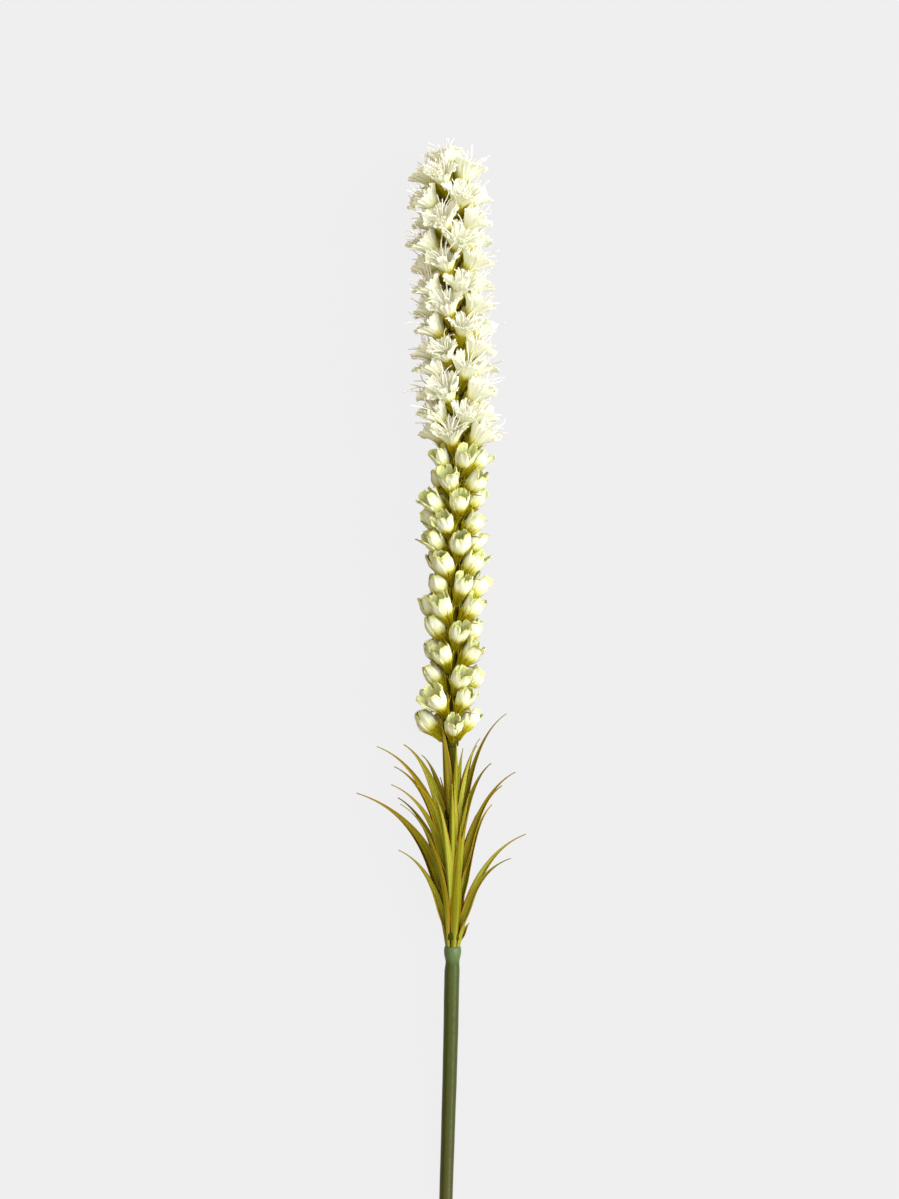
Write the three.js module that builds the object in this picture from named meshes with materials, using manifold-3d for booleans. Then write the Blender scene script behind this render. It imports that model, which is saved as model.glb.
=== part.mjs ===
// White blazing star, one artificial cut stem lying on its side.
// Stem with a rolled collar, flower axis, six leaf tufts, bud whorls, open floret whorls and a crown.
import * as THREE from "three";
import { mergeVertices } from "three/addons/utils/BufferGeometryUtils.js";
import Module from "manifold-3d";

const wasm = await Module();
wasm.setup();

// Driving sizes in millimetres. The stem runs along +Y from its cut end, and the table is at z = 0.
const gap = 0.4;
const stem = { sides: 10, radius: 3.4, topRadius: 3.7, foot: 2.2, slant: 0.6, top: 201 };
const stemPlaces = [30, 60, 90, 120, 150, 175];
const collar = { from: 192, neckRadius: 3.5, radius: 4.4, rimRadius: 4.0, rolled: 3, straight: 6.5 };
const socketDepth = 12;
const axis = { sides: 6, footRadius: 2.9, tipRadius: 1.9, from: 205, step: 21, end: 578 };
const sleeve = { wall: 1, below: 0.6, above: 3.6 };
const table = { sink: 1.2, clear: 0.45, size: 2000, depth: 100 };

// The axis rises from the level stem to the spike, whose florets hold it off the table.
const rise = { from: 60, to: 330, height: 14, openFrom: 400, openTo: 500, openHeight: 3.6 };

// Sideways sway of the stem: [place along the stem, offset to the right].
const sway = [
  [0, -4.4], [75, -2.0], [145, 0.1], [188, 1.0], [224, 2.0], [255, 1.6], [300, 0.5], [330, 0.8],
  [375, 2.0], [425, 3.0], [465, 3.5], [525, 2.2], [575, 0.2], [600, -0.9],
];

// Bud florets: a calyx, then a cup of lobed petals, flatter on the side that faces the axis.
const bud = { petals: 5, calyx: 7.4, calyxRadius: 2.7, belly: 13.4, bellyRadius: 6.2, length: 21, lean: 34 };
const cup = { wall: 0.8, floor: 9.4, inside: 14, closed: 3.4, open: 6.2, rimRadius: 5.2, squeeze: 0.42 };
const lobe = { notch: 3.4, notchOut: 0.4, uneven: 0.8, flutter: 0.6 };
const bract = { every: 2, radius: 0.5, from: 5.5, reach: 11, bend: 0.6, droop: 1 };

// Open florets: a tube that flares into petals with toothed ends, and long threads from its throat.
const tube = { throat: 13.6, throatRadius: 2.7, lip: 0.5, floor: 8 };
const petal = { height: 20.6, reach: 9.6, dip: 1.4, wall: 0.65, taper: 0.35, lean: 38 };
const ragged = { height: 1.1, reach: 0.05, tooth: 0.4 };
const petals = [
  { turn: 0, half: 13, reach: 8.6, corner: 38 },
  { turn: 87, half: 21, reach: 9.6, corner: 113 },
  { turn: 142, half: 24, reach: 9.6, corner: 180 },
  { turn: -142, half: 24, reach: 9.6, corner: -113 },
  { turn: -87, half: 21, reach: 9.6, corner: -38 },
];
const thread = { radius: 0.55, corners: [38, 120, 210, 300], bend: 8.5, taper: 0.8, reach: 18, spread: 4.5 };
const root = { sunk: 1.6, seat: 0.15, radius: 1.4 };

// Whorls: where each leaves the axis, and the turn of its first floret from straight up.
const perWhorl = 4;
const wander = { turn: 2, lean: 1.5 };
const budWhorls = [
  [302, 16], [314, -29], [325.5, 17], [337, -28], [348, 18], [359, -27], [370, 19],
  [381, -26], [391.5, 19], [402, -26], [412.5, 18], [423, -27], [433.5, 17],
];
const openWhorls = { count: 12, from: 444.5, pitch: 10.7, firstTurn: -22.5, turn: 45 };
const crown = { foot: 573, turn: 67.5, lean: 30, cap: 581, tip: 578.5 };

// Leaf tufts: the height of each, then one row per blade: turn from straight up, reach and climb.
const tufts = [
  { foot: 205, blades: [[-82, 29, 44], [-48, 38, 70], [12, 9, 58], [66, 30, 43], [97, 35, 53], [-100, 45, 68],
    [152, 20, 60], [-140, 22, 52], [122, 9.5, 7]] },
  { foot: 217, blades: [[-90, 50, 60], [-14, 10, 67], [-120, 34, 56], [125, 22, 54], [-30, 22, 62],
    [178, 16, 60]] },
  { foot: 229, blades: [[-66, 34, 55], [-38, 30, 56], [84, 31, 60], [104, 25, 52], [-160, 20, 55],
    [40, 12, 50]] },
  { foot: 241, blades: [[-78, 38, 62], [58, 23, 53], [-105, 30, 50], [140, 18, 50], [8, 8, 44]] },
  { foot: 252.5, blades: [[-98, 24, 50], [86, 28, 65], [46, 20, 54], [18, 8.5, 51], [-168, 16, 48]] },
  { foot: 266, blades: [[-112, 16, 31], [-24, 11, 50], [38, 10, 35], [165, 12, 36], [110, 14, 35]] },
];
const blade = { width: 2.6, rootWidth: 0.7, tipWidth: 0.3, middle: 0.38, fold: 0.35 };
const bladeStations = [0, 0.22, 0.5, 0.78];
const bladeWay = { seat: 0.5, foot: 0.4, standOff: 2.6, low: 0.2, bow: 0.12, high: 0.65, facing: 0.85 };

const looks = {
  stem: { color: 0x6f8f5c, roughness: 0.5 },
  axis: { color: 0x5f6a1f, roughness: 0.6 },
  leaf: { color: 0x93922f, roughness: 0.6 },
  bud: { color: 0xe2e8c0, roughness: 0.55 },
  open: { color: 0xf3f6e6, roughness: 0.55 },
};

const degrees = THREE.MathUtils.degToRad;
const lerp = THREE.MathUtils.lerp;
const smooth = THREE.MathUtils.smoothstep;

// A repeatable number from 0 to 1 for each seed.
function chance(seed) {
  const wave = Math.sin(seed * 12.9898) * 43758.5453;
  return wave - Math.floor(wave);
}

// A repeatable number from -1 to 1 for each seed.
function swing(seed) {
  return 2 * chance(seed) - 1;
}

// A smooth curve through [place, value] pairs.
function readCurve(pairs, place) {
  const last = pairs.length - 1;
  let i = 0;
  while (i < last - 1 && place > pairs[i + 1][0]) i += 1;
  const slope = (k) => {
    const before = pairs[Math.max(k - 1, 0)];
    const after = pairs[Math.min(k + 1, last)];
    return (after[1] - before[1]) / (after[0] - before[0]);
  };
  const span = pairs[i + 1][0] - pairs[i][0];
  const t = (place - pairs[i][0]) / span;
  const fromStart = (1 + 2 * t) * pairs[i][1] + t * span * slope(i);
  const fromEnd = (3 - 2 * t) * pairs[i + 1][1] - (1 - t) * span * slope(i + 1);
  return (1 - t) ** 2 * fromStart + t ** 2 * fromEnd;
}

// The middle of the stem or flower axis at a place along it.
function axisPoint(place) {
  const level = stem.radius * Math.cos(Math.PI / stem.sides);
  const lift = rise.height * smooth(place, rise.from, rise.to);
  const openLift = rise.openHeight * smooth(place, rise.openFrom, rise.openTo);
  return new THREE.Vector3(readCurve(sway, place), place, level + lift + openLift);
}

// The middle, the direction along the stem, and the directions up and to the right across it.
function axisFrame(place) {
  const middle = axisPoint(place);
  const along = axisPoint(place + 1).sub(axisPoint(place - 1)).normalize();
  const up = new THREE.Vector3(0, 0, 1).addScaledVector(along, -along.z).normalize();
  const right = new THREE.Vector3().crossVectors(along, up);
  return { middle, along, up, right };
}

function outward(frame, turn) {
  return frame.up.clone().multiplyScalar(Math.cos(turn)).addScaledVector(frame.right, Math.sin(turn));
}

function axisRadius(place) {
  return THREE.MathUtils.mapLinear(place, stem.top, axis.end, axis.footRadius, axis.tipRadius);
}

function geometryFrom(points, faces) {
  const geometry = new THREE.BufferGeometry().setFromPoints(points);
  geometry.setIndex(faces);
  return geometry;
}

// Faces from each ring of points to the next, counter-clockwise seen from the last ring. A ring of one
// point is a tip, and a ring may have twice the points of the ring before it. The two faces of a thin
// blade are split alike, so that they never cross.
function sideFaces(rings, looped, thin = false) {
  const faces = [];
  const starts = rings.map((ring, i) => rings.slice(0, i).flat().length);
  for (let i = 0; i < rings.length - (looped ? 0 : 1); i += 1) {
    const after = (i + 1) % rings.length;
    const sides = rings[i].length;
    const ratio = rings[after].length / sides;
    for (let k = 0; k < sides; k += 1) {
      const a = starts[i] + k;
      const b = starts[i] + ((k + 1) % sides);
      const next = (step) => starts[after] + ((ratio * k + step) % rings[after].length);
      if (ratio < 1) {
        faces.push(a, b, starts[after]);
      } else if (thin && k >= sides / 2) {
        faces.push(a, b, next(0), b, next(1), next(0));
      } else {
        faces.push(a, b, next(ratio));
        for (let step = 0; step < ratio; step += 1) faces.push(a, next(step + 1), next(step));
      }
    }
  }
  return faces;
}

// Closed geometry through rings of points, with a flat face on its first ring and on its last.
function loft(rings, thin = false) {
  const faces = sideFaces(rings, false, thin);
  const end = rings.flat().length - rings[rings.length - 1].length;
  for (let k = 1; k < rings[0].length - 1; k += 1) faces.push(0, k + 1, k);
  for (let k = 1; k < rings[rings.length - 1].length - 1; k += 1) faces.push(end, end + k, end + k + 1);
  return geometryFrom(rings.flat(), faces);
}

function toSolid(geometry) {
  const bare = geometry.clone();
  bare.deleteAttribute("normal");
  bare.deleteAttribute("uv");
  const merged = mergeVertices(bare, 1e-4);
  return new wasm.Manifold(
    new wasm.Mesh({
      numProp: 3,
      vertProperties: new Float32Array(merged.attributes.position.array),
      triVerts: new Uint32Array(merged.index.array),
    }),
  );
}

function toGeometry(solid) {
  const mesh = solid.getMesh();
  const geometry = new THREE.BufferGeometry();
  geometry.setAttribute("position", new THREE.BufferAttribute(mesh.vertProperties.slice(), 3));
  geometry.setIndex(new THREE.BufferAttribute(mesh.triVerts.slice(), 1));
  geometry.computeVertexNormals();
  return geometry;
}

// A ring of points round the axis, with a flat side to the table.
function axisRing(place, radius, sides, slant = 0) {
  const { middle, along, up, right } = axisFrame(place);
  return Array.from({ length: sides }, (_, k) => {
    const turn = (2 * Math.PI * (k + 0.5)) / sides;
    return middle
      .clone()
      .addScaledVector(up, radius * Math.cos(turn))
      .addScaledVector(right, radius * Math.sin(turn))
      .addScaledVector(along, slant * radius * Math.cos(turn));
  });
}

// The stem: a slanting cut at its foot, a level underside, and a rolled collar round the socket at its top.
function stemGeometry() {
  const ring = (place, radius, slant) => axisRing(place, radius, stem.sides, slant);
  const body = [stem.foot, ...stemPlaces].map((place) => {
    const radius = lerp(stem.radius, stem.topRadius, smooth(place, rise.from, collar.from));
    return ring(place, radius, place === stem.foot ? stem.slant : 0);
  });
  const bore = axis.footRadius + gap;
  return loft([
    ...body,
    ring(collar.from, collar.neckRadius),
    ring(collar.from + collar.rolled, collar.radius),
    ring(collar.from + collar.straight, collar.radius),
    ring(stem.top, collar.rimRadius),
    ring(stem.top, bore),
    ring(stem.top - socketDepth, bore),
  ]);
}

// The thinner flower axis that stands in the stem's socket and carries leaves and florets.
function axisGeometry() {
  const foot = stem.top - socketDepth + gap;
  const places = [foot];
  for (let place = axis.from; place < axis.end - axis.step / 2; place += axis.step) places.push(place);
  places.push(axis.end);
  return loft(places.map((place) => axisRing(place, axisRadius(Math.max(place, stem.top)), axis.sides)));
}

// A sleeve round the axis that carries one whorl or tuft.
function sleeveSolid(foot) {
  const ring = (place, wall) => axisRing(place, axisRadius(place) + gap + wall, axis.sides);
  const from = foot - sleeve.below;
  const to = foot + sleeve.above;
  const rings = [ring(from, 0), ring(from, sleeve.wall), ring(to, sleeve.wall), ring(to, 0)];
  return toSolid(geometryFrom(rings.flat(), sideFaces(rings, true)));
}

// One solid from its parts, with what reaches into the table cut off flat.
function joined(parts) {
  const slab = new THREE.BoxGeometry(table.size, table.size, table.depth).translate(0, 0, -table.depth / 2);
  return wasm.Manifold.union(parts).subtract(toSolid(slab));
}

function offTable(point) {
  return point.setZ(Math.max(point.z, table.clear));
}

// A thin three-sided needle along a few points, ending in a tip.
function needleSolid(path, radius) {
  const points = path.map(offTable);
  const aside = new THREE.Vector3(0.3, 0.2, 0.9);
  const rings = points.slice(0, -1).map((point, i) => {
    const along = points[i + 1].clone().sub(point).normalize();
    const side = aside.clone().cross(along).normalize();
    const other = new THREE.Vector3().crossVectors(along, side);
    return [0, 120, 240].map((turn) =>
      point
        .clone()
        .addScaledVector(side, radius * Math.cos(degrees(turn)))
        .addScaledVector(other, radius * Math.sin(degrees(turn))),
    );
  });
  return toSolid(loft([...rings, [points[points.length - 1]]]));
}

// Where a floret stands: its foot and its own directions. One that would sink into the table is pressed up.
function floretFrame(foot, turn, wishedLean, length, radius) {
  const frame = axisFrame(foot);
  const out = outward(frame, turn);
  const base = frame.middle.clone().addScaledVector(out, root.sunk);
  const lowest = (lean) => {
    const fall = -out.z * Math.sin(lean) - frame.along.z * Math.cos(lean);
    return base.z - length * fall - radius * Math.sqrt(1 - fall * fall);
  };
  let lean = wishedLean;
  while (lean > 0 && lowest(lean) < -table.sink) lean -= 0.01;
  const along = frame.along.clone().multiplyScalar(Math.cos(lean)).addScaledVector(out, Math.sin(lean));
  const inner = frame.along.clone().multiplyScalar(Math.sin(lean)).addScaledVector(out, -Math.cos(lean));
  const side = new THREE.Vector3().crossVectors(along, inner);
  const reach = axisRadius(foot) + gap + root.seat;
  const seat = lean > 0
    ? { middle: frame.middle.clone().addScaledVector(out, reach), across: frame.along, side }
    : { middle: base, across: inner, side };
  if (lean > 0) seat.middle.addScaledVector(frame.along, (reach - root.sunk) / Math.tan(lean));
  return { base, out, along, inner, side, seat };
}

// A point in a floret: its distance from the floret's middle, its turn from the inner side, and its height.
function floretPoint(place, radius, turn, height) {
  return place.base
    .clone()
    .addScaledVector(place.along, height)
    .addScaledVector(place.inner, radius * Math.cos(turn))
    .addScaledVector(place.side, radius * Math.sin(turn));
}

// A point on the foot of a floret, which stands flat on the axis sleeve.
function seatPoint({ seat }, turn) {
  return seat.middle
    .clone()
    .addScaledVector(seat.across, root.radius * Math.cos(turn))
    .addScaledVector(seat.side, root.radius * Math.sin(turn));
}

// A bud: rings up the outside, along the lobed rim and down the inside of the cup.
function budSolid(place, seed) {
  const rim = lerp(cup.closed, cup.open, chance(seed));
  const ring = (points, radiusAt, heightAt, squeeze) =>
    Array.from({ length: points }, (_, k) => {
      const turn = (2 * Math.PI * k) / points;
      const narrow = 1 - squeeze * (0.5 + 0.5 * Math.cos(turn)) ** 1.5;
      return floretPoint(place, narrow * radiusAt(k), turn, heightAt(k));
    });
  const notched = (k) => k % 2 === 1;
  const tipHeight = (k) => bud.length - (notched(k) ? lobe.notch : lobe.uneven * chance(seed + k));
  const tipRadius = (k) =>
    rim + (notched(k) ? lobe.notchOut * (bud.bellyRadius - rim) : lobe.flutter * swing(seed + 3 * k));
  const lobes = 2 * bud.petals;
  return toSolid(
    loft([
      petals.map((_, k) => seatPoint(place, (2 * Math.PI * k) / bud.petals)),
      ring(bud.petals, () => bud.calyxRadius, () => bud.calyx, 0),
      ring(lobes, () => bud.bellyRadius, () => bud.belly, cup.squeeze),
      ring(lobes, tipRadius, tipHeight, cup.squeeze),
      ring(lobes, () => bud.bellyRadius - cup.wall, () => cup.inside, cup.squeeze),
      [floretPoint(place, 0, 0, cup.floor)],
    ]),
  );
}

// A thin pointed bract that stands out from under a bud.
function bractSolid(place) {
  const start = floretPoint(place, 0, 0, bract.from);
  const middle = start.clone().addScaledVector(place.out, bract.bend * bract.reach);
  const tip = start.clone().addScaledVector(place.out, bract.reach);
  tip.addScaledVector(place.along, -bract.droop);
  return needleSolid([start, middle, tip], bract.radius);
}

// An open floret: a five-sided tube with a toothed petal on each side, left wide apart where the next whorl
// comes through, and two long threads from its floor.
function openSolid(place, seed) {
  const sides = petals.length;
  const ring = (radius, height) =>
    petals.map(({ corner }) => floretPoint(place, radius, degrees(corner), height));
  const points = [
    ...ring(tube.throatRadius, tube.throat),
    ...ring(tube.throatRadius - petal.wall, tube.throat + tube.lip),
    ...petals.map(({ corner }) => seatPoint(place, degrees(corner))),
  ];
  const foot = 2 * sides;
  const faces = [];
  for (let k = 1; k < sides - 1; k += 1) faces.push(foot, foot + k + 1, foot + k);
  for (let k = 0; k < sides; k += 1) {
    const last = (k + sides - 1) % sides;
    faces.push(foot + last, foot + k, last, foot + k, k, last);
    addPetal(points, faces, place, seed, k, [last, k], [sides + last, sides + k]);
  }
  addThreads(points, faces, place, seed);
  return toSolid(geometryFrom(points, faces));
}

// The inside of the tube narrows to a four-cornered floor, and each half of the floor rises into a thread.
function addThreads(points, faces, place, seed) {
  const sides = petals.length;
  const start = points.length;
  const corners = thread.corners.map(degrees);
  for (const turn of corners) points.push(floretPoint(place, thread.radius, turn, tube.floor));
  const below = [0, 1, 2, 3, 3];
  for (let k = 0; k < sides; k += 1) {
    const next = (k + 1) % sides;
    faces.push(sides + k, sides + next, start + below[k]);
    if (below[k] !== below[next]) faces.push(sides + next, start + below[next], start + below[k]);
  }
  [[0, 1, 2], [2, 3, 0]].forEach((half, i) => {
    const turn = corners[2 * i + 1];
    const spread = thread.spread * (0.6 + 0.8 * chance(seed + 60 + i));
    const reach = thread.reach * (0.9 + 0.2 * chance(seed + 62 + i));
    const bend = points.length;
    const middle = floretPoint(place, 0.25 * spread, turn, tube.floor + thread.bend);
    const floor = floretPoint(place, 0.4 * thread.radius, turn, tube.floor);
    for (const corner of half) {
      points.push(points[start + corner].clone().sub(floor).multiplyScalar(thread.taper).add(middle));
    }
    points.push(floretPoint(place, spread, turn + 0.5, tube.floor + reach));
    half.forEach((corner, k) => {
      const next = (k + 1) % 3;
      faces.push(start + corner, start + half[next], bend + k, start + half[next], bend + next, bend + k);
      faces.push(bend + k, bend + next, bend + 3);
    });
  });
}

// One petal: two teeth with a dip between them, an outside face, an inside face and its cut edge.
function addPetal(points, faces, place, seed, k, outer, inner) {
  const own = seed + 7 * k;
  const height = petal.height + ragged.height * swing(own);
  const reach = petals[k].reach * (1 + ragged.reach * swing(own + 1));
  const teeth = k === 0 ? [-1, 1] : [-1, 0, 1];
  const start = points.length;
  for (const lift of [0, petal.wall]) {
    for (const tooth of teeth) {
      const turn = degrees(petals[k].turn + tooth * petals[k].half);
      const end = reach - (tooth === 0 ? petal.dip : 0) + ragged.tooth * swing(own + tooth + 4);
      points.push(floretPoint(place, end - petal.taper * lift, turn, height + lift));
    }
  }
  const end = teeth.length;
  const outside = [outer[0], ...teeth.map((_, i) => start + i), outer[1]];
  const inside = [inner[0], ...teeth.map((_, i) => start + end + i), inner[1]];
  for (let i = 1; i <= end; i += 1) {
    faces.push(outside[0], outside[i + 1], outside[i]);
    faces.push(inside[0], inside[i], inside[i + 1]);
  }
  for (let i = 0; i <= end; i += 1) {
    faces.push(outside[i], outside[i + 1], inside[i]);
    faces.push(outside[i + 1], inside[i + 1], inside[i]);
  }
}

// One leaf blade: a narrow channelled strap that climbs beside the axis, bows outwards and ends in a point.
function bladeSolid(foot, [turn, reach, climb]) {
  const frame = axisFrame(foot);
  const out = outward(frame, degrees(turn));
  const start = axisRadius(foot) + gap + bladeWay.seat;
  const at = (distance, height) =>
    frame.middle.clone().addScaledVector(out, distance).addScaledVector(frame.along, height);
  const curve = new THREE.CubicBezierCurve3(
    at(start, bladeWay.foot),
    at(start + bladeWay.standOff, bladeWay.low * climb),
    at(start + bladeWay.standOff + bladeWay.bow * reach, bladeWay.high * climb),
    at(reach, climb),
  );
  const rings = bladeStations.map((t) => {
    const middle = curve.getPoint(t);
    middle.z = Math.max(middle.z, table.clear + blade.middle);
    const turned = smooth(t, 0, 0.4);
    const facing = out.clone().multiplyScalar(lerp(-1, -0.5, turned));
    facing.addScaledVector(frame.up, bladeWay.facing * turned);
    const side = facing.cross(curve.getTangent(t)).normalize();
    const normal = new THREE.Vector3().crossVectors(curve.getTangent(t), side);
    const widening = lerp(blade.rootWidth, 1, smooth(t, 0, 0.3));
    const half = (blade.width / 2) * widening * lerp(1, blade.tipWidth, smooth(t, 0.4, 1));
    const corner = (x, y) => middle.clone().addScaledVector(side, x).addScaledVector(normal, y);
    const edges = [corner(-half, blade.fold), corner(half, blade.fold)];
    return [edges[0], corner(0, -blade.middle), edges[1], corner(0, blade.middle)];
  });
  return toSolid(loft([...rings, [offTable(curve.getPoint(1))]], true));
}

const flower = new THREE.Group();

function addNode(name, solid, look) {
  const material = new THREE.MeshStandardMaterial({ ...look, metalness: 0 });
  const mesh = new THREE.Mesh(toGeometry(solid), material);
  mesh.name = name;
  flower.add(mesh);
}

const numbered = (name, i) => `${name}_${String(i + 1).padStart(2, "0")}`;

function addTuft({ foot, blades }, i) {
  const parts = [sleeveSolid(foot), ...blades.map((row) => bladeSolid(foot, row))];
  addNode(numbered("leaf_tuft", i), joined(parts), looks.leaf);
}

// The turns and leans of one whorl's florets, each a little off the even spacing.
function whorlPlaces(foot, firstTurn, lean, length, radius, seed) {
  return Array.from({ length: perWhorl }, (_, k) => {
    const turn = degrees(firstTurn + (360 / perWhorl) * k + wander.turn * swing(seed + k));
    const ownLean = degrees(lean + wander.lean * swing(seed + 10 + k));
    return floretFrame(foot, turn, ownLean, length, radius);
  });
}

function addBudWhorl([foot, firstTurn], i) {
  const seed = 100 + 40 * i;
  const places = whorlPlaces(foot, firstTurn, bud.lean, bud.length, cup.rimRadius, seed);
  const buds = places.map((place, k) => budSolid(place, seed + 20 + k));
  const bracts = places.filter((_, k) => k % bract.every === i % bract.every).map(bractSolid);
  addNode(numbered("bud_whorl", i), joined([sleeveSolid(foot), ...buds, ...bracts]), looks.bud);
}

function addOpenWhorl(i) {
  const foot = openWhorls.from + openWhorls.pitch * i;
  const seed = 1000 + 40 * i;
  const firstTurn = openWhorls.firstTurn + openWhorls.turn * i;
  const places = whorlPlaces(foot, firstTurn, petal.lean, petal.height, petal.reach, seed);
  const florets = places.map((place, k) => openSolid(place, seed + 20 + k));
  addNode(numbered("floret_whorl", i), joined([sleeveSolid(foot), ...florets]), looks.open);
}

// The crown closes the spike: a steeper whorl on a capped sleeve, and one floret on the cap.
function addCrown() {
  const seed = 1800;
  const ring = (place, wall) => axisRing(place, axisRadius(place) + gap + wall, axis.sides);
  const from = crown.foot - sleeve.below;
  const inside = [ring(axis.end + gap, 0), ring(from, 0)];
  const cap = toSolid(loft([...inside, ring(from, sleeve.wall), ring(crown.cap, sleeve.wall)]));
  const places = whorlPlaces(crown.foot, crown.turn, crown.lean, petal.height, petal.reach, seed);
  const tip = floretFrame(crown.tip, 0, 0, petal.height, petal.reach);
  tip.base.copy(axisPoint(crown.tip));
  const florets = [...places, tip].map((place, k) => openSolid(place, seed + 20 + k));
  addNode("crown", joined([cap, ...florets]), looks.open);
}

addNode("stem", toSolid(stemGeometry()), looks.stem);
addNode("flower_axis", toSolid(axisGeometry()), looks.axis);
tufts.forEach(addTuft);
budWhorls.forEach(addBudWhorl);
for (let i = 0; i < openWhorls.count; i += 1) addOpenWhorl(i);
addCrown();

// The origin lies under the middle of the flower, on the table.
const bounds = new THREE.Box3().setFromObject(flower);
const middle = bounds.getCenter(new THREE.Vector3());
flower.position.set(-middle.x, -middle.y, -bounds.min.z);

export default flower;
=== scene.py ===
import math

import bpy
import numpy as np
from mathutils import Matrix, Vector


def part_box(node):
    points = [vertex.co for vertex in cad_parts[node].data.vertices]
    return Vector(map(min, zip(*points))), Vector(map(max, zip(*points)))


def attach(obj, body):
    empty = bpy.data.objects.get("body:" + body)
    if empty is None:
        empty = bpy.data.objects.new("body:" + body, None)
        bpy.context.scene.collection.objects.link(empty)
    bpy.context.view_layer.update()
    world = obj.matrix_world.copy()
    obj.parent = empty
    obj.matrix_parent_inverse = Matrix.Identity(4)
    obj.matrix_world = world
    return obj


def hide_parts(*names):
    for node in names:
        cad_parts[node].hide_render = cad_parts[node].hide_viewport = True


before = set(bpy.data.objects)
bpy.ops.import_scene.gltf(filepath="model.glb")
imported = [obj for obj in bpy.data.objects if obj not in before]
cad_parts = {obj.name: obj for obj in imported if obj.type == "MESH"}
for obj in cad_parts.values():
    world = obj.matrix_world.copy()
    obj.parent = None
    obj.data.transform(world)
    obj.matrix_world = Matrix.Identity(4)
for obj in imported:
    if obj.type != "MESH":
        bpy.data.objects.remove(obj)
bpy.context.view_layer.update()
print("frame loaded:", len(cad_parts), "nodes")

# Everything is worked out in millimetres in the plant's own frame: the stem runs along +Y from its cut
# end, and the table is at z = 0. placeInFrame brings finished points to the frame, in metres.
route = {
    "level": 3.4 * math.cos(math.pi / 10),  # height of the middle of the stem where it lies flat
    "riseFrom": 60, "riseTo": 330, "riseHeight": 14,
    "openFrom": 400, "openTo": 500, "openHeight": 3.6, "ceiling": 43.7,
    "sway": [
        (0, -4.4), (75, -2.0), (145, 0.1), (188, 1.0), (224, 2.0), (255, 1.6), (300, 0.5), (330, 0.8),
        (375, 2.0), (425, 3.0), (465, 3.5), (525, 2.2), (575, 0.2), (600, -0.9),
    ],
    "axisFrom": 189.4, "axisTo": 578, "stepsFrom": 205, "axisStep": 21, "axisSides": 6, "socketTop": 201,
    "footRadius": 2.9, "tipRadius": 1.9,
}


def lerp(a, b, t):
    return a + (b - a) * t


def smooth(x, low, high):
    t = np.clip((x - low) / (high - low), 0, 1)
    return t * t * (3 - 2 * t)


def chance(seed):  # a repeatable number from 0 to 1
    wave = math.sin(seed * 12.9898) * 43758.5453
    return wave - math.floor(wave)


def swing(seed):  # a repeatable number from -1 to 1
    return 2 * chance(seed) - 1


def phase(seed):  # a repeatable start for a wave
    return 6.3 * chance(seed)


def unit(vectors):
    return vectors / np.maximum(np.linalg.norm(vectors, axis=-1, keepdims=True), 1e-9)


def readCurve(pairs, place):  # a smooth curve through the pairs
    last = len(pairs) - 1
    i = 0
    while i < last - 1 and place > pairs[i + 1][0]:
        i += 1

    def slope(k):
        before, after = pairs[max(k - 1, 0)], pairs[min(k + 1, last)]
        return (after[1] - before[1]) / (after[0] - before[0])

    span = pairs[i + 1][0] - pairs[i][0]
    t = (place - pairs[i][0]) / span
    fromStart = (1 + 2 * t) * pairs[i][1] + t * span * slope(i)
    fromEnd = (3 - 2 * t) * pairs[i + 1][1] - (1 - t) * span * slope(i + 1)
    return (1 - t) ** 2 * fromStart + t ** 2 * fromEnd


def axisPoint(place):
    lift = route["riseHeight"] * smooth(place, route["riseFrom"], route["riseTo"])
    openLift = route["openHeight"] * smooth(place, route["openFrom"], route["openTo"])
    return np.array([readCurve(route["sway"], place), place, route["level"] + lift + openLift])


def axisFrame(place):
    along = unit(axisPoint(place + 1) - axisPoint(place - 1))
    up = unit(np.array([0, 0, 1]) - along * along[2])
    return axisPoint(place), along, up, np.cross(along, up)


def axisRadius(place):
    t = (place - route["socketTop"]) / (route["axisTo"] - route["socketTop"])
    return lerp(route["footRadius"], route["tipRadius"], t)


def axisRing(place, radii, turns, slant=0):
    middle, along, up, right = axisFrame(place)
    radii = np.broadcast_to(radii, turns.shape)
    upward, aside = radii * np.cos(turns), radii * np.sin(turns)
    return middle + np.outer(upward, up) + np.outer(aside, right) + np.outer(slant * upward, along)


def evenTurns(sides, start=0.0):
    return 2 * math.pi * (np.arange(sides) + start) / sides


# The frame's own six-sided axis, worked out again here, shows where the plant's frame lies.
axisStops = np.arange(route["stepsFrom"], route["axisTo"] - route["axisStep"] / 2, route["axisStep"])
axisHull = np.vstack([
    axisRing(stop, axisRadius(max(stop, route["socketTop"])), evenTurns(route["axisSides"], 0.5))
    for stop in [route["axisFrom"], *axisStops, route["axisTo"]]
])
axisLow, axisHigh = (np.array(corner) * 1000 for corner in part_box("flower_axis"))
shift = axisLow - axisHull.min(axis=0)
misfit = axisHigh - axisHull.max(axis=0) - shift
print("plant's place in the frame in mm:", shift.round(3), "misfit:", misfit.round(3))


def placeInFrame(points):
    return (points + shift) * 0.001


def restOnTable(points, softness=0.7):  # what would sink into the table is pressed flat on it
    z = points[..., 2]
    pressed = np.where(z < softness, softness * np.exp(np.minimum(z - softness, 0) / softness), z)
    return np.concatenate([points[..., :2], pressed[..., None]], axis=-1)


def keepUnder(points, share):  # bends what would stand higher than the plant is
    over = max(points[..., 2].max() - route["ceiling"], 0)
    points[..., 2] -= over * share
    return points


marks = {"petal": 0, "calyx": 1, "fine": 2, "sleeve": 3}  # where each material stands in a floret's list


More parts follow.
